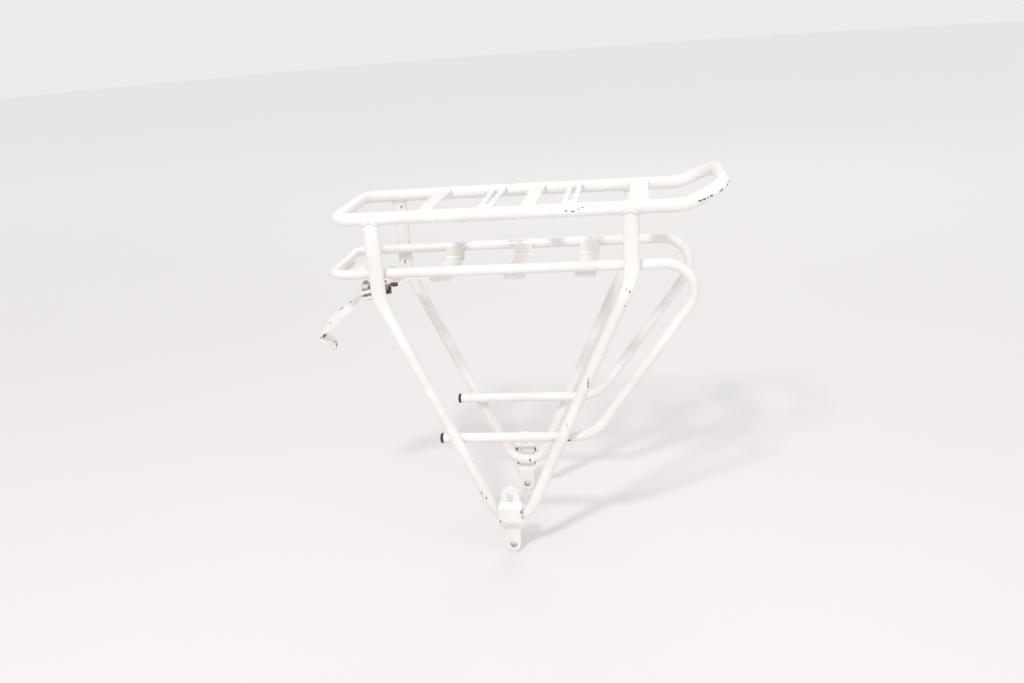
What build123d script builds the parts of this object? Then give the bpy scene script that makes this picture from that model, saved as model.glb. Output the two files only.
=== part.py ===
from build123d import *
import math
import os

# Rear luggage carrier for a bicycle, in millimetres.
# +X points to the rear of the bicycle, +Z up, -Y is the left side. The origin is midway between the two axle holes
# of the foot tabs, so everything is measured up from the wheel axle.

# Deck: one tube bent to a closed loop, raised at the rear.
deck_half_width = 63.0
deck_z = 388.0
deck_front_x = -167.0
deck_rear_x = 240.5
deck_rear_rise = 17.5
deck_rear_slope = 24.0
deck_front_corner_r = 20.0
deck_rear_corner_r = 30.0
deck_rise_bend_r = 48.0
deck_tube_r = 7.0
deck_wall = 1.5
butt_half_gap = 0.6

# Flat bars across the deck.
bar_top_z = 393.9
bar_thickness = 3.0
bar_width = 15.5
bar_x = (-69.0, -4.5, 41.0, 83.5)
slotted_bars = (2, 4)
bar_slot_length = 84.0
bar_slot_width = 5.6
rear_plate_x = 155.0
rear_plate_width = 19.5

# Battery tray and pannier rails: one thinner tube.
tray_half_width = 54.5
tray_z = 325.7
tray_front_x = -181.0
tray_front_corner_r = 18.0
tray_rear_vertex_x = 238.0
tray_rear_bend_r = 30.0
rail_half_width = 57.0
rail_z = 129.0
rail_front_x = -73.5
rail_rear_vertex_x = 97.0
rail_bend_r = 45.0
tray_tube_r = 5.5
tray_wall = 1.4

# U-shaped straps under the tray rails.
strap_x = (-62.0, 19.5, 96.5)
strap_width = 22.0
strap_thickness = 2.5
strap_floor_z = 311.5
strap_bend_r = 4.0
strap_leg_top_z = 327.0

# Centre plate under the front of the tray.
centre_plate_width = 40.0
centre_plate_thickness = 3.0
centre_plate_drop = 8.6
centre_plate_ramp_x = (-163.0, -147.0)
centre_plate_rear_x = -52.0

# Side frames: one tube each, flattened at the top, bent to a V at the foot.
leg_half_width = 64.75
leg_front_x = -127.0
leg_rear_x = 146.0
leg_front_bend_z = 299.0
leg_rear_bend_z = 314.0
leg_bend_r = 60.0
leg_taper_length = 20.0
leg_vertex = (1.3, 72.0, -4.2)
leg_foot_bend_r = 27.0
leg_tube_r = 6.25
leg_wall = 1.5
leg_flat_half_width = 8.25
leg_flat_half_thickness = 4.75

# Foot plates.
foot_outer_face = 75.0
foot_thickness = 4.0
foot_saddle_out = 6.3
foot_upper_jog_z = (54.5, 49.5)
foot_lower_jog_z = (33.0, 21.0)
foot_top_z = 73.8
foot_arch_r = 10.8
foot_saddle_half_width = 13.4
foot_tab_half_width = 10.0
foot_tip_r = 8.0
foot_tip_z = -1.2
foot_hole_r = 3.3
foot_slot_length = 13.5
foot_slot_width = 6.8
foot_slot_z = 61.0

# End caps of the pannier rails.
cap_head_length = 3.5
cap_head_r = 5.8
cap_stem_length = 14.0
cap_stem_clearance = 0.02

# Front stay. Its clamp frame has its origin at the clamp bolt on the stay's top face, x along the stay to the rear.
clamp_x = -157.5
clamp_z = 286.7
clamp_slope = 13.0
stay_width = 22.0
stay_thickness = 3.0
stay_rear_reach = 15.5
stay_front_reach = -17.0
stay_path = ((-203.0, 262.0), (-221.5, 238.0))
stay_flange_end = (-206.0, 222.0)
stay_flange_hole_r = 4.2
stay_flange_hole_reach = 12.5
stay_slot_length = 19.0
stay_slot_width = 6.8
stay_wing_depth = 7.0
stay_wing_thickness = 2.0
bracket_width = 40.0
bracket_nose_width = 24.0
bracket_thickness = 3.0
bracket_rear_x = -114.0
bracket_step_x = -143.0
bracket_nose_reach = 12.0
spacer_height = 3.6
slide_gap = 0.3
bolt_r = 3.0
bolt_hole_r = 3.3
washer_r = 6.25
washer_height = 1.2
nut_height = 5.0
hex_across_flats = 10.0
low_head_r = 5.5
low_head_height = 2.4
bracket_bolt_r = 2.5
bracket_hole_r = 2.75
bracket_bolt_x = -131.0
bracket_bolt_y = 14.5
bracket_bolt_end_z = 291.2
bracket_spacer_r = 3.1
bracket_nut_across = 7.8
bracket_nut_z = (291.5, 302.0)
bracket_head_r = 5.0
bracket_head_height = 2.6
thread_out = 2.6

taper_step = 0.012


def section(path, shape):
    """Put a flat shape across the start of a path, its local x along the Y axis where that is possible."""
    tangent = path % 0
    across = Vector(0, 1, 0) if abs(tangent.Y) < 0.9 else Vector(0, 0, 1)
    return Plane(origin=path @ 0, x_dir=across, z_dir=tangent) * shape


def hollow_tube(points, radii, outer_r, wall):
    path = FilletPolyline(*points, radius=radii)
    ring = Circle(outer_r) - Circle(outer_r - wall)
    return sweep(section(path, ring), path=path)


def bent_strip(points, radii, width, thickness):
    """A flat strip, width along Y, that follows a bent centre line in the XZ plane."""
    path = FilletPolyline(*points, radius=radii)
    return sweep(section(path, Rectangle(width, thickness)), path=path)


def rod_x(radius, y, z):
    """A long round bar along X, used to cope other pieces."""
    return Pos(0, y, z) * Rot(0, 90, 0) * Cylinder(radius, 700)


def both_sides(shape):
    return [shape, mirror(shape, about=Plane.XZ)]


def deck_tube():
    rise_x = deck_rear_x - deck_rear_rise / math.tan(math.radians(deck_rear_slope))
    half = [
        (deck_front_x, butt_half_gap, deck_z),
        (deck_front_x, deck_half_width, deck_z),
        (rise_x, deck_half_width, deck_z),
        (deck_rear_x, deck_half_width, deck_z + deck_rear_rise),
    ]
    points = half + [(x, -y, z) for x, y, z in reversed(half)]
    bends = [deck_front_corner_r, deck_rise_bend_r, deck_rear_corner_r]
    return hollow_tube(points, bends + bends[::-1], deck_tube_r, deck_wall)


def butt_weld():
    ring = Circle(deck_tube_r + 0.4) - Circle(deck_tube_r - deck_wall)
    return extrude(Plane((deck_front_x, 0, deck_z), z_dir=(0, 1, 0)) * ring, butt_half_gap, both=True)


def cope_to_deck(shape):
    for side in (-1, 1):
        shape = shape - rod_x(deck_tube_r, side * deck_half_width, deck_z)
    return shape


def deck_bar(x, width, slotted):
    bar = Pos(x, 0, bar_top_z - bar_thickness / 2) * Box(width, 2 * (deck_half_width - 3), bar_thickness)
    if slotted:
        slot = SlotOverall(bar_slot_length, bar_slot_width, rotation=90)
        bar = bar - extrude(Pos(x, 0, bar_top_z) * slot, bar_thickness, both=True)
    return cope_to_deck(bar)


def tray_and_rail_tube():
    half = [
        (rail_front_x, rail_half_width, rail_z),
        (rail_rear_vertex_x, rail_half_width, rail_z),
        (tray_rear_vertex_x, tray_half_width, tray_z),
        (tray_front_x, tray_half_width, tray_z),
    ]
    points = half + [(x, -y, z) for x, y, z in reversed(half)]
    bends = [rail_bend_r, tray_rear_bend_r, tray_front_corner_r]
    return hollow_tube(points, bends + bends[::-1], tray_tube_r, tray_wall)


def tray_strap(x):
    leg_y = tray_half_width - tray_tube_r - strap_thickness / 2
    floor_z = strap_floor_z + strap_thickness / 2
    points = [(x, -leg_y, strap_leg_top_z), (x, -leg_y, floor_z), (x, leg_y, floor_z), (x, leg_y, strap_leg_top_z)]
    path = FilletPolyline(*points, radius=strap_bend_r)
    across = Plane(origin=path @ 0, x_dir=(1, 0, 0), z_dir=path % 0) * Rectangle(strap_width, strap_thickness)
    return sweep(across, path=path)


def centre_plate():
    low_z = strap_floor_z - centre_plate_thickness / 2
    high_z = low_z + centre_plate_drop
    points = [
        (tray_front_x + 3, 0, high_z),
        (centre_plate_ramp_x[0], 0, high_z),
        (centre_plate_ramp_x[1], 0, low_z),
        (centre_plate_rear_x, 0, low_z),
    ]
    plate = bent_strip(points, [8, 8], centre_plate_width, centre_plate_thickness)
    tube = Pos(tray_front_x, 0, tray_z) * Rot(90, 0, 0) * Cylinder(tray_tube_r, 200)
    plate = plate - tube
    for y in (-bracket_bolt_y, bracket_bolt_y):
        plate = plate - Pos(bracket_bolt_x, y, low_z) * Cylinder(bracket_hole_r, 20)
    return plate


def leg_section(origin, tangent, half_width, half_thickness, shrink):
    """An oval across the leg: its long axis lies fore and aft."""
    side = Vector(0, 1, 0)
    fore = side.cross(Vector(*tangent)).normalized()
    return Plane(origin=origin, x_dir=fore, z_dir=tangent) * Ellipse(half_width - shrink, half_thickness - shrink)


def leg_solid(shrink):
    """The side frame's outer shape, or with shrink its bore."""
    deck_y = leg_half_width
    vertices = [
        (leg_front_x, deck_y, deck_z),
        (leg_front_x, deck_y, leg_front_bend_z),
        leg_vertex,
        (leg_rear_x, deck_y, leg_rear_bend_z),
        (leg_rear_x, deck_y, deck_z),
    ]
    whole = FilletPolyline(*vertices, radius=[leg_bend_r, leg_foot_bend_r, leg_bend_r])
    straight_front, bend_front, slope_front, foot, slope_rear, bend_rear, straight_rear = whole.edges()
    r = leg_tube_r
    pieces = []
    for straight, bend, slope, flip in (
        (straight_front, bend_front, slope_front, False),
        (straight_rear, bend_rear, slope_rear, True),
    ):
        at = (lambda edge, t: edge @ (1 - t)) if flip else (lambda edge, t: edge @ t)
        along = (lambda edge, t: -(edge % (1 - t))) if flip else (lambda edge, t: edge % t)
        wide, thin = leg_flat_half_width, leg_flat_half_thickness
        first = leg_section(at(bend, 0), along(bend, 0), wide, thin, shrink)
        upper = extrude(first, -straight.length)
        taper = leg_taper_length / slope.length
        stations = [
            first,
            leg_section(at(bend, 0.5), along(bend, 0.5), wide - 0.3, thin + 0.2, shrink),
            leg_section(at(bend, 1), along(bend, 1), wide - 1.0, thin + 0.7, shrink),
            leg_section(at(slope, taper), along(slope, taper), r, r - taper_step / 4, shrink + taper_step),
        ]
        pieces += [upper, loft(stations)]
    lower = Wire([slope_front.trim(leg_taper_length / slope_front.length, 1), foot,
                  slope_rear.trim(0, 1 - leg_taper_length / slope_rear.length)])
    start = leg_section(lower @ 0, lower % 0, r, r - taper_step / 4, shrink)
    pieces.append(sweep(start, path=lower))
    return pieces


def side_frame():
    outer, bore = (leg_solid(shrink) for shrink in (0, leg_wall))
    frame = outer[0].fuse(*outer[1:])
    frame = frame.cut(*bore)
    return cope_to_deck(frame)


def foot_plate():
    """A strap that runs flat, bows outwards over the bottom of the side frame and comes back in to the tab."""
    flat_y = foot_outer_face - foot_thickness / 2
    saddle_y = flat_y + foot_saddle_out
    points = [(0, flat_y, foot_top_z + 5), (0, flat_y, foot_upper_jog_z[0]), (0, saddle_y, foot_upper_jog_z[1]),
              (0, saddle_y, foot_lower_jog_z[0]), (0, flat_y, foot_lower_jog_z[1]), (0, flat_y, foot_tip_z - 20)]
    path = FilletPolyline(*points, radius=[3, 3, 5, 5])
    blank = sweep(Plane(origin=path @ 0, x_dir=(1, 0, 0), z_dir=path % 0) * Rectangle(60, foot_thickness), path=path)
    arch_z = foot_top_z - foot_arch_r
    right = [(foot_arch_r, arch_z), (foot_arch_r, foot_upper_jog_z[0] + 1.5),
             (foot_saddle_half_width, foot_upper_jog_z[0] - 1.5), (foot_saddle_half_width, foot_lower_jog_z[0]),
             (foot_tab_half_width, foot_lower_jog_z[1] + 1), (foot_tip_r, foot_tip_z)]
    outline = Polygon(*[(-x, z) for x, z in right], *reversed(right), align=None)
    outline = fillet(outline.vertices().filter_by(lambda v: abs(v.X) > foot_saddle_half_width - 0.1), 1.5)
    outline = outline + Pos(0, arch_z) * Circle(foot_arch_r) + Pos(0, foot_tip_z) * Circle(foot_tip_r)
    outline = outline - Circle(foot_hole_r) - Pos(0, foot_slot_z) * SlotOverall(
        foot_slot_length, foot_slot_width, rotation=90)
    cutter = extrude(Plane.XZ * outline, -120)
    return blank & cutter


def rail_cap():
    axis = Plane((rail_front_x, rail_half_width, rail_z), x_dir=(0, 1, 0), z_dir=(-1, 0, 0))
    head = extrude(axis * Circle(cap_head_r), cap_head_length)
    head = fillet(head.edges().filter_by(GeomType.CIRCLE).sort_by(Axis.X)[0], 1.2)
    stem_r = tray_tube_r - tray_wall - cap_stem_clearance
    return head + extrude(axis * Circle(stem_r), -cap_stem_length)


def clamp_plane(height=0.0):
    slope = math.radians(clamp_slope)
    up = Vector(-math.sin(slope), 0, math.cos(slope))
    return Plane(origin=Vector(clamp_x, 0, clamp_z) + up * height,
                 x_dir=(math.cos(slope), 0, math.sin(slope)), z_dir=up)


def clamp_point(along, height):
    point = clamp_plane(height).origin + clamp_plane().x_dir * along
    return (point.X, 0, point.Z)


nose_seat = spacer_height + 2 * slide_gap
washer_seat = nose_seat + bracket_thickness + slide_gap


def hexagon(height, across_flats):
    hexa = extrude(RegularPolygon(across_flats / 2, 6, major_radius=False), height)
    bevel = Pos(0, 0, height / 2) * Cylinder(across_flats / 2 * 1.13, height)
    return hexa & chamfer(bevel.edges().filter_by(GeomType.CIRCLE), across_flats * 0.05)


def ring(outer_r, height, inner_r=bolt_hole_r):
    return extrude(Circle(outer_r) - Circle(inner_r), height)


def nut(height, across_flats, bore_r):
    return hexagon(height, across_flats) - Cylinder(bore_r, 40)


def stay_bracket():
    mid = nose_seat + bracket_thickness / 2
    flat_z = strap_floor_z - centre_plate_thickness - bracket_thickness / 2
    points = [(bracket_rear_x, 0, flat_z), (bracket_step_x, 0, flat_z), clamp_point(9.5, mid),
              clamp_point(-bracket_nose_reach, mid)]
    strip = bent_strip(points, [6, 6], bracket_width, bracket_thickness)
    nose = clamp_plane() * Circle(bracket_nose_width / 2)
    plan = Pos(clamp_x, 0) * Circle(bracket_nose_width / 2)
    neck = bracket_step_x + 6 - clamp_x
    plan += Pos(clamp_x + neck / 2, 0) * Rectangle(neck, bracket_nose_width)
    rear = Pos((bracket_rear_x + bracket_step_x) / 2, 0) * RectangleRounded(
        bracket_step_x * -1 + bracket_rear_x, bracket_width, 6)
    plan += rear
    strip = strip & extrude(plan, 400)
    strip = strip - clamp_plane() * Cylinder(bolt_hole_r, 40)
    for y in (-bracket_bolt_y, bracket_bolt_y):
        strip = strip - Pos(bracket_bolt_x, y, flat_z) * Cylinder(bracket_hole_r, 20)
    return strip


def front_stay():
    half = stay_thickness / 2
    top = [clamp_point(stay_rear_reach, -half), clamp_point(stay_front_reach, -half)]
    top += [(x, 0, z) for x, z in stay_path + (stay_flange_end,)]
    strip = bent_strip(top, [12, 20, 4], stay_width, stay_thickness)
    fold = Vector(*top[-2])
    end = Vector(*top[-1])
    run = (end - fold).normalized()
    hole_at = fold + run * stay_flange_hole_reach
    tip = Plane(origin=hole_at, x_dir=run, z_dir=run.cross(Vector(0, 1, 0)))
    round_r = stay_width / 2
    square = Pos(round_r, 0) * Rectangle(2 * round_r, 4 * round_r)
    strip = strip - extrude(tip * (square - Circle(round_r)), 8, both=True)
    strip = strip - extrude(tip * Circle(stay_flange_hole_r), 8, both=True)
    rear = clamp_plane() * Pos(stay_rear_reach - 6, 0) * (Pos(6, 0) * Rectangle(12, 40) - (
        Rectangle(12, stay_width - 12) + Pos(0, stay_width / 2 - 6) * Circle(6) + Pos(0, 6 - stay_width / 2) * Circle(6)
        + Pos(-6, 0) * Rectangle(12, stay_width)))
    strip = strip - extrude(rear, 12, both=True)
    slot = clamp_plane() * SlotOverall(stay_slot_length, stay_slot_width)
    strip = strip - extrude(slot, 12, both=True)
    wings = []
    for side in (-1, 1):
        y = side * (stay_width / 2 - stay_wing_thickness / 2)
        first = (top[1][0], top[1][2])
        bend, last = stay_path
        lower = [(first[0] + 3, first[1] - stay_wing_depth * 0.5),
                 (bend[0] + 4.0, bend[1] - stay_wing_depth * 1.25),
                 (last[0] + 10.0, last[1] + 6.0)]
        upper = [(last[0] + 4.0, last[1] + 5.5), (bend[0], bend[1]), (first[0] + 5.0, first[1])]
        face = Polygon(*lower, *upper, align=None)
        wing = extrude(Plane((0, y, 0), x_dir=(1, 0, 0), z_dir=(0, -1, 0)) * face, stay_wing_thickness / 2, both=True)
        wings.append(wing)
    return strip.fuse(*wings)


def stay_bolt():
    seat = -stay_thickness - slide_gap
    shank_top = washer_seat + washer_height + nut_height + thread_out
    place = clamp_plane(seat)
    bolt = place * extrude(Circle(bolt_r), shank_top - seat)
    head = Pos(0, 0, -low_head_height / 2) * Cylinder(low_head_r, low_head_height)
    head = fillet(head.edges().filter_by(GeomType.CIRCLE).sort_by(Axis.Z)[0], 1.6)
    return bolt + place * head


def stay_washers():
    return Compound(children=[
        clamp_plane(slide_gap) * ring(washer_r, spacer_height, bolt_r),
        clamp_plane(washer_seat) * ring(washer_r, washer_height),
    ])


def stay_nut():
    return clamp_plane(washer_seat + washer_height) * nut(nut_height, hex_across_flats, bolt_r)


def bracket_bolt(y):
    """A low domed screw, head on the centre plate, shank down through the bracket."""
    head = Pos(0, 0, bracket_head_height / 2) * Cylinder(bracket_head_r, bracket_head_height)
    head = fillet(head.edges().filter_by(GeomType.CIRCLE).sort_by(Axis.Z)[-1], 1.8)
    shank = Pos(bracket_bolt_x, y, bracket_bolt_end_z) * extrude(
        Circle(bracket_bolt_r), strap_floor_z - bracket_bolt_end_z)
    return shank + Pos(bracket_bolt_x, y, strap_floor_z) * head


def bracket_spacer(y):
    """A sleeve between the bracket's underside and the nut."""
    under_bracket = strap_floor_z - centre_plate_thickness - bracket_thickness
    sleeve = Circle(bracket_spacer_r) - Circle(bracket_bolt_r)
    return Pos(bracket_bolt_x, y, bracket_nut_z[1]) * extrude(sleeve, under_bracket - bracket_nut_z[1])


def bracket_nut(y):
    height = bracket_nut_z[1] - bracket_nut_z[0]
    return Pos(bracket_bolt_x, y, bracket_nut_z[0]) * nut(height, bracket_nut_across, bracket_bolt_r)


def group(shapes):
    return Compound(children=list(shapes))


def build_all():
    parts = {"deck_tube": deck_tube(), "deck_butt_weld": butt_weld()}
    for number, x in enumerate(bar_x, 1):
        parts[f"deck_crossbar_{number}"] = deck_bar(x, bar_width, number in slotted_bars)
    parts["deck_rear_plate"] = deck_bar(rear_plate_x, rear_plate_width, False)
    parts["tray_and_rail_tube"] = tray_and_rail_tube()
    for number, x in enumerate(strap_x, 1):
        parts[f"tray_strap_{number}"] = tray_strap(x)
    parts["tray_centre_plate"] = centre_plate()
    for name, shape in (("side_frame", side_frame()), ("foot_plate", foot_plate()), ("rail_cap", rail_cap())):
        right, left = both_sides(shape)
        parts[f"{name}_right"] = right
        parts[f"{name}_left"] = left
    pair = (-bracket_bolt_y, bracket_bolt_y)
    parts["stay_bracket"] = stay_bracket()
    parts["bracket_bolts"] = group(bracket_bolt(y) for y in pair)
    parts["bracket_spacers"] = group(bracket_spacer(y) for y in pair)
    parts["bracket_nuts"] = group(bracket_nut(y) for y in pair)
    parts["front_stay"] = front_stay()
    parts["stay_bolt"] = stay_bolt()
    parts["stay_washers"] = stay_washers()
    parts["stay_nut"] = stay_nut()
    return parts


os.makedirs("parts", exist_ok=True)
for node, shape in build_all().items():
    export_step(shape, f"parts/{node}.step")
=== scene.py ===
import math

import bpy
import numpy as np
from mathutils import Matrix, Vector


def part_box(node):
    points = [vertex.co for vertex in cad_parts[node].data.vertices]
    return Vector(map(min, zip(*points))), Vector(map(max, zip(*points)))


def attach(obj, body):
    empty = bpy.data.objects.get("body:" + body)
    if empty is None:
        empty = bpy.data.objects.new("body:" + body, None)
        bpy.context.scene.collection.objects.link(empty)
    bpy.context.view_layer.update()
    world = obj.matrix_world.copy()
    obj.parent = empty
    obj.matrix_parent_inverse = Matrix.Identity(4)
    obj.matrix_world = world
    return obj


# A bicycle's white rear carrier: finishes, weld beads, floor, light and camera around the frame's metal parts.
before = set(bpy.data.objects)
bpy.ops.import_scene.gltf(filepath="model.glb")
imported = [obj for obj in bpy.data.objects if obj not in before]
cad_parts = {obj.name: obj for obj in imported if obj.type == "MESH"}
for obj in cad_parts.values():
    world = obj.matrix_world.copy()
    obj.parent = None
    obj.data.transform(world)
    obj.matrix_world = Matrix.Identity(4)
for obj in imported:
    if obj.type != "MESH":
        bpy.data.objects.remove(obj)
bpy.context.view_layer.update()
MM = 0.001


def span(node, axis):
    """Where a metal part starts and ends along an axis of the frame, in millimetres."""
    return [round(float(corner[axis]) / MM, 2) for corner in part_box(node)]


# ---------------------------------------------------------------- sizes of the metal parts, in millimetres
# The flat parts are measured in the frame. A bent tube's box doesn't give its centre line, so the tubes'
# centre lines and the few curved edges that beads follow are stated here.
X, Y, Z = 0, 1, 2
bar_ends = [span(f"deck_crossbar_{number}", X) for number in (1, 2, 3, 4)] + [span("deck_rear_plate", X)]
bar_bottom_z, bar_top_z = span("deck_crossbar_1", Z)
strap_ends = [span(f"tray_strap_{number}", X) for number in (1, 2, 3)]
strap_floor_z, strap_top_z = span("tray_strap_1", Z)
strap_outer_y = span("tray_strap_1", Y)[1]
plate_front_x, plate_rear_x = span("tray_centre_plate", X)
plate_top_z = span("tray_centre_plate", Z)[1]
foot_thickness = 4.0
foot_half_width = span("foot_plate_right", X)[1]
foot_face_y = span("foot_plate_right", Y)[1] - foot_thickness
floor_z = span("foot_plate_right", Z)[0] - 0.1

deck_half_width, deck_z, deck_tube_r = 63.0, 388.0, 7.0
leg_x = (-127.0, 146.0)
leg_half_width, leg_wide, leg_thin = 64.75, 8.25, 4.75
tray_half_width, tray_z = 54.5, 325.7
rail_half_width, rail_z = 57.0, 129.0
# Where the rails meet the legs: x, and how far the leg leans along x for each millimetre up.
rail_leg_lean = {-55.0: -0.42, 62.0: 0.44}
foot_arc_z, foot_arc_r = 36.0, 27.0
stay_slope = math.radians(13)
stay_axis = (-math.sin(stay_slope), 0.0, math.cos(stay_slope))

# Weld beads: the length of one ripple, and the radii.
bead_ripple = 1.3
bead_r = {"leg": 1.25, "bar_top": 0.75, "bar_under": 1.0, "tray": 1.1, "strap": 0.8,
          "plate_front": 1.1, "plate_rear": 0.9, "foot": 1.15}

# ---------------------------------------------------------------- colours
enamel_dull, enamel_bright = (0.800, 0.780, 0.745), (0.865, 0.850, 0.825)
road_dirt, scuff_grey = (0.43, 0.37, 0.30), (0.38, 0.35, 0.33)
bare_steel, rusty_steel = (0.115, 0.108, 0.108), (0.27, 0.185, 0.14)
pale_zinc, old_oil = (0.88, 0.87, 0.85), (0.13, 0.062, 0.03)
moulded_black, dusty_black = (0.018, 0.018, 0.021), (0.11, 0.105, 0.10)
# The far floor colour is painted light: a paler tone that makes up for the lamps' light fading with distance.
floor_dull, floor_bright, floor_far_painted_light = (0.745, 0.725, 0.725), (0.775, 0.755, 0.755), (0.95, 0.935, 0.94)
room_colour = (0.95, 0.935, 0.945)


# ---------------------------------------------------------------- shader helpers
class Wire:
    """A shader socket that can be added, multiplied and compared like a number."""

    def __init__(self, tree, socket):
        self.tree = tree
        self.socket = socket

    def make(self, kind, inputs=None, out=0, **settings):
        """Any node: its type, its inputs as values or wires, and its settings. Returns one output."""
        node = self.tree.nodes.new(kind)
        for key, value in settings.items():
            setattr(node, key, value)
        for key, value in (inputs or {}).items():
            if isinstance(value, Wire):
                self.tree.links.new(value.socket, node.inputs[key])
            else:
                node.inputs[key].default_value = value
        return Wire(self.tree, node.outputs[out] if node.outputs else None)

    def math(self, operation, *terms):
        return self.make("ShaderNodeMath", dict(enumerate(terms)), operation=operation)

    def __add__(self, other):
        return self.math("ADD", self, other)

    def __sub__(self, other):
        return self.math("SUBTRACT", self, other)

    def __rsub__(self, other):
        return self.math("SUBTRACT", other, self)

    def __mul__(self, other):
        return self.math("MULTIPLY", self, other)

    def __truediv__(self, other):
        return self.math("DIVIDE", self, other)

    __radd__ = __add__
    __rmul__ = __mul__

    def least(self, other):
        return self.math("MINIMUM", self, other)

    def most(self, other):
        return self.math("MAXIMUM", self, other)

    def sine(self):
        return self.math("SINE", self)

    def step(self, low, high):
        """0 below low and 1 above high, smooth between; low may be the larger one."""
        return self.make("ShaderNodeMapRange", {"Value": self, "From Min": low, "From Max": high},
                         interpolation_type="SMOOTHSTEP")

    def vector(self, operation, other, out=0):
        return self.make("ShaderNodeVectorMath", {0: self, 1: other}, out=out, operation=operation)

    def noise(self, scale, detail=3.0, roughness=0.55, stretch=None):
        """Noise read at this position; scale in features per metre; stretch scales the axes first."""
        at = self.vector("MULTIPLY", stretch) if stretch else self
        inputs = {"Vector": at, "Scale": scale, "Detail": detail, "Roughness": roughness}
        return self.make("ShaderNodeTexNoise", inputs)

    def blend(self, dark, light):
        """A colour: dark where this is 0, light where it is 1."""
        pair = [c if isinstance(c, Wire) else (*c, 1.0) for c in (dark, light)]
        return self.make("ShaderNodeMix", {0: self, 6: pair[0], 7: pair[1]}, out=2, data_type="RGBA")


def material(name, paint):
    """A material built by paint(position wire), which returns Principled inputs, a bump and its depth."""
    mat = bpy.data.materials.new(name)
    mat.use_nodes = True
    tree = mat.node_tree
    tree.nodes.clear()
    root = Wire(tree, None)
    position = root.make("ShaderNodeTexCoord", out=3)
    inputs, height, depth = paint(position)
    inputs["Normal"] = root.make("ShaderNodeBump", {"Height": height, "Distance": depth, "Strength": 1.0})
    shader = root.make("ShaderNodeBsdfPrincipled", inputs)
    root.make("ShaderNodeOutputMaterial", {"Surface": shader})
    return mat


def near_spots(position, spots, reach):
    """Distance to the closest worn spot, as a share of its size: 1 at a spot's edge, less inside.
    A spot is x, y, z, r in millimetres; along each axis it reaches r times that axis's reach."""
    scale = tuple(1 / k for k in reach)
    here = position.vector("MULTIPLY", scale)
    nearest = None
    for x, y, z, r in spots:
        centre = tuple(c * MM * k for c, k in zip((x, y, z), scale))
        away = here.vector("DISTANCE", centre, out=1) / (r * MM)
        nearest = away if nearest is None else nearest.least(away)
    return nearest


def axis_distance(position, axis_x, axis_z):
    """Distance in metres from a line along Y through axis_x, axis_z in millimetres."""
    flat = position.vector("MULTIPLY", (1.0, 0.0, 1.0))
    return flat.vector("DISTANCE", (axis_x * MM, 0.0, axis_z * MM), out=1)


def white_paint(name, spots=(), reach=(1.0, 1.0, 1.0), rings=(), speck=0.79, grime=0.25):
    """Glossy off-white stove enamel with chips down to brown steel, faint scuffs and a little dirt.
    rings are worn rims x, z, r around holes along Y; a higher speck leaves fewer small chips."""

    def paint(position):
        ragged = position.noise(1100, 4.0, 0.7)
        broad = position.noise(14, 2.0)
        fine = position.noise(2600, 2.0)
        peel = position.noise(420, 2.0)
        worn = position.noise(330, 5.0, 0.62).step(speck, speck + 0.02)
        if spots:
            torn = position.noise(700, 5.0, 0.75, stretch=tuple(1 / k for k in reach))
            worn = worn.most((near_spots(position, spots, reach) + (torn - 0.5) * 3.4).step(0.95, 0.72))
        for x, z, r in rings:
            edge = axis_distance(position, x, z) / (r * MM) + (position.noise(420, 4.0, 0.7) - 0.5) * 1.5
            worn = worn.most(edge.step(0.95, 0.8) * 0.8)
        scratch = position.noise(160, 3.0, 0.5, stretch=(1.0, 3.0, 14.0)).step(0.72, 0.77)
        scratch = scratch * position.noise(38, 2.0).step(0.5, 0.66)
        dirt = position.noise(75, 5.0, 0.65).step(0.5, 0.78) * position.noise(19, 2.0).step(0.42, 0.7)
        dirt = dirt * grime
        rust = (ragged * 0.6 + fine * 0.4).step(0.42, 0.6)
        enamel = broad.step(0.35, 0.68).blend(enamel_dull, enamel_bright)
        enamel = dirt.blend(enamel, road_dirt)
        enamel = (scratch * 0.42).blend(enamel, scuff_grey)
        steel = rust.blend(bare_steel, rusty_steel)
        inputs = {
            "Base Color": worn.blend(enamel, steel),
            "Roughness": (0.2 + 0.14 * broad + 0.25 * dirt + 0.2 * scratch).most(worn * 0.62),
            "Metallic": worn * 0.45,
            "Coat Weight": 0.35 - worn * 0.35,
            "Coat Roughness": 0.12,
        }
        return inputs, peel * 0.22 + fine * 0.03 - worn * 0.8 - scratch * 0.08, 0.16 * MM

    return material(name, paint)


def plated_steel(name, pale, dark, oil, thread=None):
    """Plated or oiled fastener steel, mottled, brushed and stained. Where a thread of 1 mm pitch shows,
    thread is the screw's axis."""

    def paint(position):
        mottle = position.noise(260, 4.0, 0.6)
        grain = position.noise(900, 2.0, 0.5, stretch=(1.0, 1.0, 9.0))
        stain = position.noise(140, 4.0, 0.7).step(0.47, 0.66)
        colour = mottle.step(0.35, 0.68).blend(dark, pale)
        colour = (stain * oil).blend(colour, old_oil)
        height = grain * 0.3
        if thread:
            along = position.vector("DOT_PRODUCT", thread, out=1)
            height = height + (along * (2 * math.pi / MM)).sine() * 1.3
        inputs = {
            "Base Color": colour,
            "Roughness": 0.26 + 0.2 * grain + 0.3 * stain,
            "Metallic": 0.95 - 0.5 * stain * oil,
        }
        return inputs, height, 0.1 * MM

    return material(name, paint)


def black_plastic(name):
    """Moulded matt black plastic with a fine spark-eroded grain, greyed in patches by dust."""

    def paint(position):
        grain = position.noise(2300, 3.0, 0.6)
        dust = position.noise(120, 4.0, 0.6).step(0.48, 0.75)
        inputs = {
            "Base Color": (dust * 0.5).blend(moulded_black, dusty_black),
            "Roughness": 0.42 + 0.2 * grain + 0.15 * dust,
        }
        return inputs, grain, 0.12 * MM

    return material(name, paint)


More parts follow.
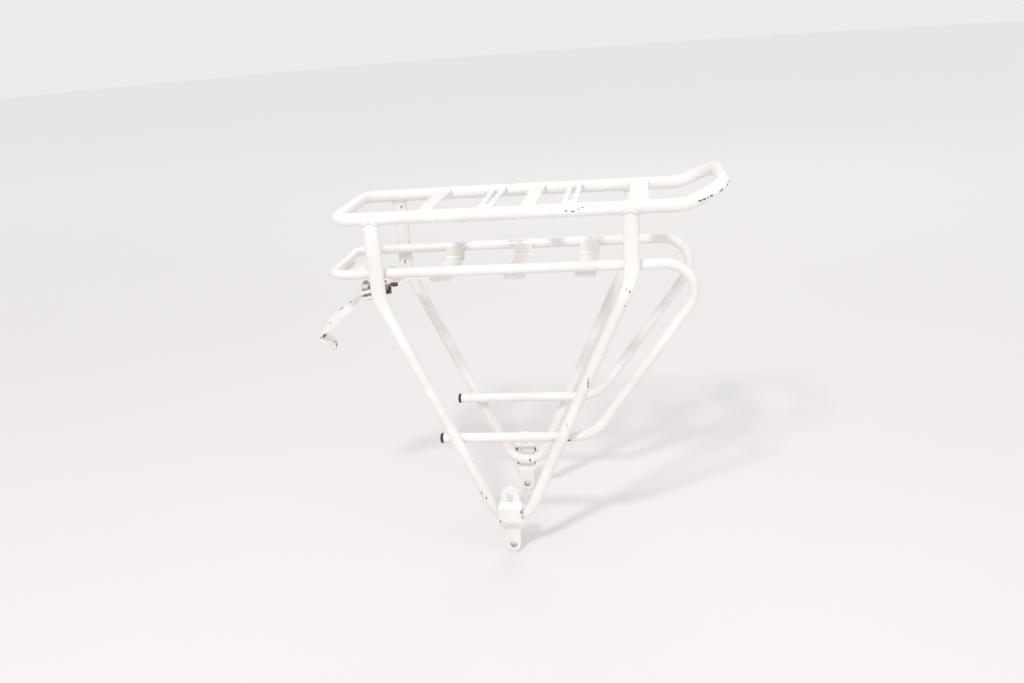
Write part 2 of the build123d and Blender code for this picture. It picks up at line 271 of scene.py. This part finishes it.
def pale_floor():
    """Faintly clouded pale floor, painted paler from 0.5 m to 4 m from the carrier as painted light, standing
    in for lamp light that fades with distance.
    """

    def paint(position):
        broad = position.noise(1.6, 2.0)
        # Painted light: the floor is painted paler with distance to make up for the lamps' light falling off.
        away = position.vector("LENGTH", (0.0, 0.0, 0.0), out=1).step(0.5, 4.0)
        near = broad.blend(floor_dull, floor_bright)
        inputs = {
            "Base Color": away.blend(near, floor_far_painted_light),
            "Roughness": 0.55 + 0.1 * broad,
        }
        return inputs, position.noise(180, 2.0), 0.1 * MM

    return material("pale_floor", paint)


# ---------------------------------------------------------------- weld beads
def bead(path, radius, closed):
    """Verts and faces of a rope of weld metal along path. Ring j of the surface is
    path(s) + r(s) * (n(s) cos a + b(s) sin a), with r(s) = radius * (1 + 0.1 sin(2 pi s / bead_ripple)).
    An open bead narrows to a fifth at its ends, by sqrt(1 - t^8) with t from -0.995 to 0.995 along it."""
    path = np.asarray(path, float)
    tangent = np.roll(path, -1, 0) - np.roll(path, 1, 0) if closed else np.gradient(path, axis=0)
    tangent /= np.linalg.norm(tangent, axis=1)[:, None]
    helper = np.where(np.abs(tangent[:, 1:2]) < 0.8, [[0.0, 1.0, 0.0]], [[0.0, 0.0, 1.0]])
    normal = np.cross(tangent, helper)
    normal /= np.linalg.norm(normal, axis=1)[:, None]
    binormal = np.cross(tangent, normal)
    run = np.concatenate([[0.0], np.cumsum(np.linalg.norm(np.diff(path, axis=0), axis=1))])
    swell = radius * (1 + 0.1 * np.sin(2 * np.pi * run / bead_ripple))
    if not closed:
        swell = swell * np.sqrt(1 - np.abs(np.linspace(-0.995, 0.995, len(path))) ** 8)
    sides = 10
    angle = np.arange(sides) * 2 * np.pi / sides
    ring = normal[:, None] * np.cos(angle)[None, :, None] + binormal[:, None] * np.sin(angle)[None, :, None]
    verts = (path[:, None] + swell[:, None, None] * ring).reshape(-1, 3)
    rows = len(path) if closed else len(path) - 1
    i, j = (a.ravel() for a in np.meshgrid(np.arange(rows), np.arange(sides), indexing="ij"))
    i2, j2 = (i + 1) % len(path), (j + 1) % sides
    faces = np.stack([i * sides + j, i2 * sides + j, i2 * sides + j2, i * sides + j2], 1).tolist()
    if not closed:
        faces.append(list(range(sides)))
        faces.append([(len(path) - 1) * sides + k for k in reversed(range(sides))])
    return verts, faces


def straight(start, end, radius, count=46):
    """An open bead, as a path, a radius and whether it is closed."""
    return np.linspace(start, end, count), radius, False


def weld_object(name, beads):
    """One mesh from many beads, in metres, facing outwards."""
    verts, faces, start = [], [], 0
    for path, radius, closed in beads:
        v, f = bead(path, radius, closed)
        verts.append(v * MM)
        faces += [[k + start for k in face] for face in f]
        start += len(v)
    mesh = bpy.data.meshes.new(name)
    mesh.from_pydata(np.concatenate(verts).tolist(), [], faces)
    mesh.update()
    if signed_volume(mesh) < 0:
        mesh.flip_normals()
    mesh.shade_smooth()
    obj = bpy.data.objects.new(name, mesh)
    bpy.context.collection.objects.link(obj)
    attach(obj, "carrier")
    return obj


def signed_volume(mesh):
    """Six times the volume inside, the sum of a . (b x c) over triangles a, b, c: negative if they face in."""
    mesh.calc_loop_triangles()
    points = np.array([v.co for v in mesh.vertices])
    tri = points[np.array([t.vertices for t in mesh.loop_triangles])]
    return float(np.einsum("ij,ij->i", tri[:, 0], np.cross(tri[:, 1], tri[:, 2])).sum())


def leg_top(x, side):
    """The ring where an oval leg meets the round deck rail: x + wide cos a, leg_half_width + thin sin a,
    deck_z - sqrt(deck_tube_r^2 - (y - deck_half_width)^2)."""
    turn = np.linspace(0, 2 * np.pi, 72, endpoint=False)
    y = leg_half_width + (leg_thin + 0.15) * np.sin(turn)
    z = deck_z - np.sqrt(np.maximum(deck_tube_r ** 2 - (y - deck_half_width) ** 2, 0.5))
    return np.stack([x + (leg_wide + 0.15) * np.cos(turn), side * y, z], 1)


def deck_beads():
    """Beads round the top of each leg, and along the upper and lower edge of each bar's ends."""
    beads = []
    for side in (-1, 1):
        beads += [(leg_top(x, side), bead_r["leg"], True) for x in leg_x]
        for start, end in bar_ends:
            for z, radius in ((bar_top_z - 0.2, bead_r["bar_top"]), (bar_bottom_z, bead_r["bar_under"])):
                y = side * (deck_half_width - math.sqrt(deck_tube_r ** 2 - (z - deck_z) ** 2))
                beads.append(straight((start + 0.6, y, z), (end - 0.6, y, z), radius))
    return beads


def tray_beads():
    """Beads over and under the tray and the rails at each leg, on the straps, and across the ends of the
    centre plate."""
    corner, leg_gap, plate_half = 4.2, 4.6, 18.5
    beads = []
    for side in (-1, 1):
        for x in leg_x:
            for z in (tray_z - corner, tray_z + corner):
                y = side * (tray_half_width + leg_gap)
                beads.append(straight((x - 7, y, z), (x + 7, y, z), bead_r["tray"]))
        for x, lean in rail_leg_lean.items():
            for rise in (-corner, corner):
                middle, y, z = x + rise * lean, side * (rail_half_width + leg_gap + 0.1), rail_z + rise
                beads.append(straight((middle - 5.5, y, z), (middle + 5.5, y, z), bead_r["tray"]))
        for start, end in strap_ends:
            y = side * (strap_outer_y - 0.5)
            beads.append(straight((start + 1, y, strap_top_z), (end - 1, y, strap_top_z), bead_r["strap"]))
    for x, z, where in ((plate_front_x + 1.4, plate_top_z + 0.1, "plate_front"),
                        (plate_rear_x + 1.1, strap_floor_z - 0.2, "plate_rear")):
        beads.append(straight((x, -plate_half, z), (x, plate_half, z), bead_r[where]))
    return beads


def foot_beads():
    """Beads down both edges of each foot plate, across the bottom of the V."""
    beads = []
    for side in (-1, 1):
        for end in (-1, 1):
            x = end * (foot_half_width - 1.0)
            middle = foot_arc_z + foot_arc_r - math.sqrt(foot_arc_r ** 2 - x ** 2)
            z = np.linspace(middle - 5.2, middle + 5.2, 30)
            y = foot_face_y - 0.9 - 3.2 * ((z - middle) / 6.25) ** 2
            beads.append((np.stack([np.full(30, x) + end * 0.8, side * y, z], 1), bead_r["foot"], False))
    return beads


# ---------------------------------------------------------------- finishes
def rubbed(start, end, count, radius):
    """Worn spots spaced evenly from start to end, in millimetres; spot k has radius * (1 + 0.2 sin 2.3k)."""
    places = np.linspace(start, end, count)
    return [(*place, radius * (1 + 0.2 * math.sin(2.3 * k))) for k, place in enumerate(places)]


raised_corner = (rubbed((215, -70, 393), (226, -67, 397), 4, 1.4)
                 + rubbed((235, -61, 400), (238, -59, 401), 2, 1.5)
                 + rubbed((243, -51, 404), (246, -44, 406), 2, 1.7))
rail_beside_slots = (rubbed((81, -70, 389), (88, -70, 388), 2, 0.9)
                     + rubbed((94, -70, 390), (102, -68, 393), 3, 0.8))
near_legs = (rubbed((95, -73, 197), (96, -73, 205), 3, 1.1)
             + rubbed((140, -70, 303), (143, -70, 301), 2, 0.9)
             + rubbed((-32, -76, 68), (-27, -77, 62), 2, 1.0)
             + [(138, -70, 285, 0.9), (70, -74, 151, 1.1)])
far_legs = [(-124, 60, 375, 1.2), (-127, 60, 308, 1.3), (-60, 70, 140, 1.1)]
foot_welds = [(11, 70, 44, 1.7), (6, 65, 37, 1.6), (13, 67, 33, 1.8), (-11, 68, 32, 1.6)]
far_plate_corners = [(-12, 77, 47, 2.0), (13, 77, 47, 2.2), (-11, 75, 30, 2.3), (12, 75, 30, 2.4)]
near_plate_edges = (rubbed((13, -81, 46), (13.4, -80, 40), 2, 1.7)
                    + rubbed((-10, -73, 17), (-9.6, -73, 12), 2, 2.0)
                    + [(10, -73, 13, 1.5), (-12, -81, 34, 1.2)])
rail_ends = rubbed((62, -62, 131), (70, -62, 127), 2, 1.6) + [(-112, -55, 320.2, 1.2), (120, 58, 160, 1.6)]
stay_top_edge = (rubbed((-184.7, 7, 276), (-180.2, -4.7, 279), 3, 2.2)
                 + rubbed((-196.5, 5.8, 268.4), (-191, -5.9, 271.9), 3, 2.2)
                 + [(-206, -11, 256.5, 0.8)])
stay_tab = (rubbed((-220, -8.5, 238.5), (-219, 1, 237.5), 3, 1.7)
            + rubbed((-209, 6, 226), (-206, -3, 222.6), 3, 1.4))
bracket_edge = [(-131, -20, 307, 1.6), (-150, -11, 297, 1.2)]

paints = {
    "deck": white_paint("white_paint_deck", raised_corner + rail_beside_slots + [(247, 30, 404, 1.4)],
                        reach=(1.9, 0.8, 0.8)),
    "side": white_paint("white_paint_side_frames", near_legs + far_legs + foot_welds,
                        reach=(0.7, 0.8, 2.2)),
    "foot": white_paint("white_paint_feet", far_plate_corners + near_plate_edges,
                        reach=(0.8, 0.8, 1.9), rings=[(0, 0, 4.3)], grime=0.4),
    "tray": white_paint("white_paint_tray", rail_ends, reach=(1.7, 0.8, 0.8)),
    "front": white_paint("white_paint_stay", stay_top_edge + stay_tab,
                         reach=(1.2, 1.9, 1.2), speck=0.76, grime=0.4),
    "stay_bracket": white_paint("white_paint_bracket", bracket_edge, grime=0.35),
    "welds": white_paint("white_paint_welds", foot_welds + far_plate_corners, speck=0.73, grime=0.6),
}
zinc = plated_steel("zinc_plated_screw", pale_zinc, (0.50, 0.48, 0.45), 0.35, thread=stay_axis)
zinc_nut = plated_steel("zinc_plated_nut", pale_zinc, (0.74, 0.72, 0.70), 0.15)
zinc_washer = plated_steel("stained_zinc_washer", (0.68, 0.65, 0.62), (0.22, 0.19, 0.17), 0.7)
zinc_upright = plated_steel("zinc_plated_bracket_screw", pale_zinc, (0.70, 0.67, 0.63), 0.15,
                            thread=(0.0, 0.0, 1.0))
dark = plated_steel("dark_oiled_nut", (0.50, 0.45, 0.41), (0.035, 0.026, 0.024), 0.7)
plastic = black_plastic("black_plastic")
own = {"stay_bolt": zinc, "stay_nut": zinc_nut, "stay_washers": zinc_washer, "bracket_bolts": zinc_upright,
       "bracket_nuts": dark, "bracket_spacers": zinc_nut, "rail_cap_left": plastic,
       "rail_cap_right": plastic, "stay_bracket": paints["stay_bracket"]}
for node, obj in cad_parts.items():
    obj.data.materials[0] = own.get(node) or paints[node.split("_")[0]]

for name, beads in (("weld_beads_deck", deck_beads()), ("weld_beads_tray", tray_beads()),
                    ("weld_beads_feet", foot_beads())):
    weld_object(name, beads).data.materials.append(paints["welds"])


# ---------------------------------------------------------------- floor, light and camera
def floor():
    """A flat round sheet just under the feet: x = r cos a, y = r sin a, z = floor_z, with r up to 12 m."""
    rings, sides = 14, 48
    radius = np.concatenate([[0.0], np.geomspace(0.05, 12.0, rings)])[:, None]
    turn = np.linspace(0, 2 * np.pi, sides, endpoint=False)[None, :]
    x, y = radius * np.cos(turn), radius * np.sin(turn)
    verts = np.stack([x, y, np.full_like(x, floor_z * MM)], 2).reshape(-1, 3)
    i, j = (a.ravel() for a in np.meshgrid(np.arange(rings), np.arange(sides), indexing="ij"))
    i2, j2 = i + 1, (j + 1) % sides
    faces = np.stack([i * sides + j, i2 * sides + j, i2 * sides + j2, i * sides + j2], 1)
    mesh = bpy.data.meshes.new("floor")
    mesh.from_pydata(verts.tolist(), [], faces.tolist())
    mesh.validate()
    mesh.update()
    mesh.materials.append(pale_floor())
    obj = bpy.data.objects.new("floor", mesh)
    bpy.context.collection.objects.link(obj)


def area_light(name, place, target, size, power, colour):
    """A square lamp at place that faces target; sizes in metres, power in watts."""
    data = bpy.data.lights.new(name, "AREA")
    data.size = size
    data.energy = power
    data.color = colour
    obj = bpy.data.objects.new(name, data)
    away = np.array(place) - np.array(target)
    away /= np.linalg.norm(away)
    side = np.cross((0.0, 0.0, 1.0), away)
    side /= np.linalg.norm(side)
    turn = np.stack([side, np.cross(away, side), away], 1)
    obj.matrix_world = Matrix.Translation(place) @ Matrix(turn.tolist()).to_4x4()
    bpy.context.collection.objects.link(obj)


def camera(place, azimuth, elevation, roll, lens):
    """Looks along azimuth, from +Y towards +X, and down by elevation, rolled about its axis; in radians."""
    level = math.cos(elevation)
    ahead = np.array([math.sin(azimuth) * level, math.cos(azimuth) * level, -math.sin(elevation)])
    right = np.array([math.cos(azimuth), -math.sin(azimuth), 0.0])
    up = np.cross(right, ahead)
    across = math.cos(roll) * right + math.sin(roll) * up
    above = math.cos(roll) * up - math.sin(roll) * right
    data = bpy.data.cameras.new("camera")
    data.sensor_width = 36.0
    data.lens = lens
    data.clip_start = 0.01
    obj = bpy.data.objects.new("camera", data)
    turn = np.stack([across, above, -ahead], 1)
    obj.matrix_world = Matrix.Translation(place) @ Matrix(turn.tolist()).to_4x4()
    bpy.context.collection.objects.link(obj)
    bpy.context.scene.camera = obj


floor()
carrier_middle = (0.02, 0.0, 0.22)
area_light("key", (-0.42, -1.45, 2.05), carrier_middle, size=0.26, power=21.0, colour=(1.0, 0.985, 0.965))
area_light("fill", (1.9, -1.2, 1.3), carrier_middle, size=1.4, power=7.0, colour=(0.97, 0.98, 1.0))
area_light("back", (0.2, 2.0, 1.9), carrier_middle, size=1.6, power=8.0, colour=(1.0, 1.0, 1.0))
world = bpy.data.worlds.new("soft_room")
world.use_nodes = True
background = world.node_tree.nodes["Background"]
background.inputs["Color"].default_value = (*room_colour, 1.0)
background.inputs["Strength"].default_value = 0.89
bpy.context.scene.world = world
bpy.context.scene.view_settings.view_transform = "Standard"
camera((0.16105, -1.00735, 0.58910), azimuth=-0.154, elevation=0.344, roll=-0.077, lens=32.905)
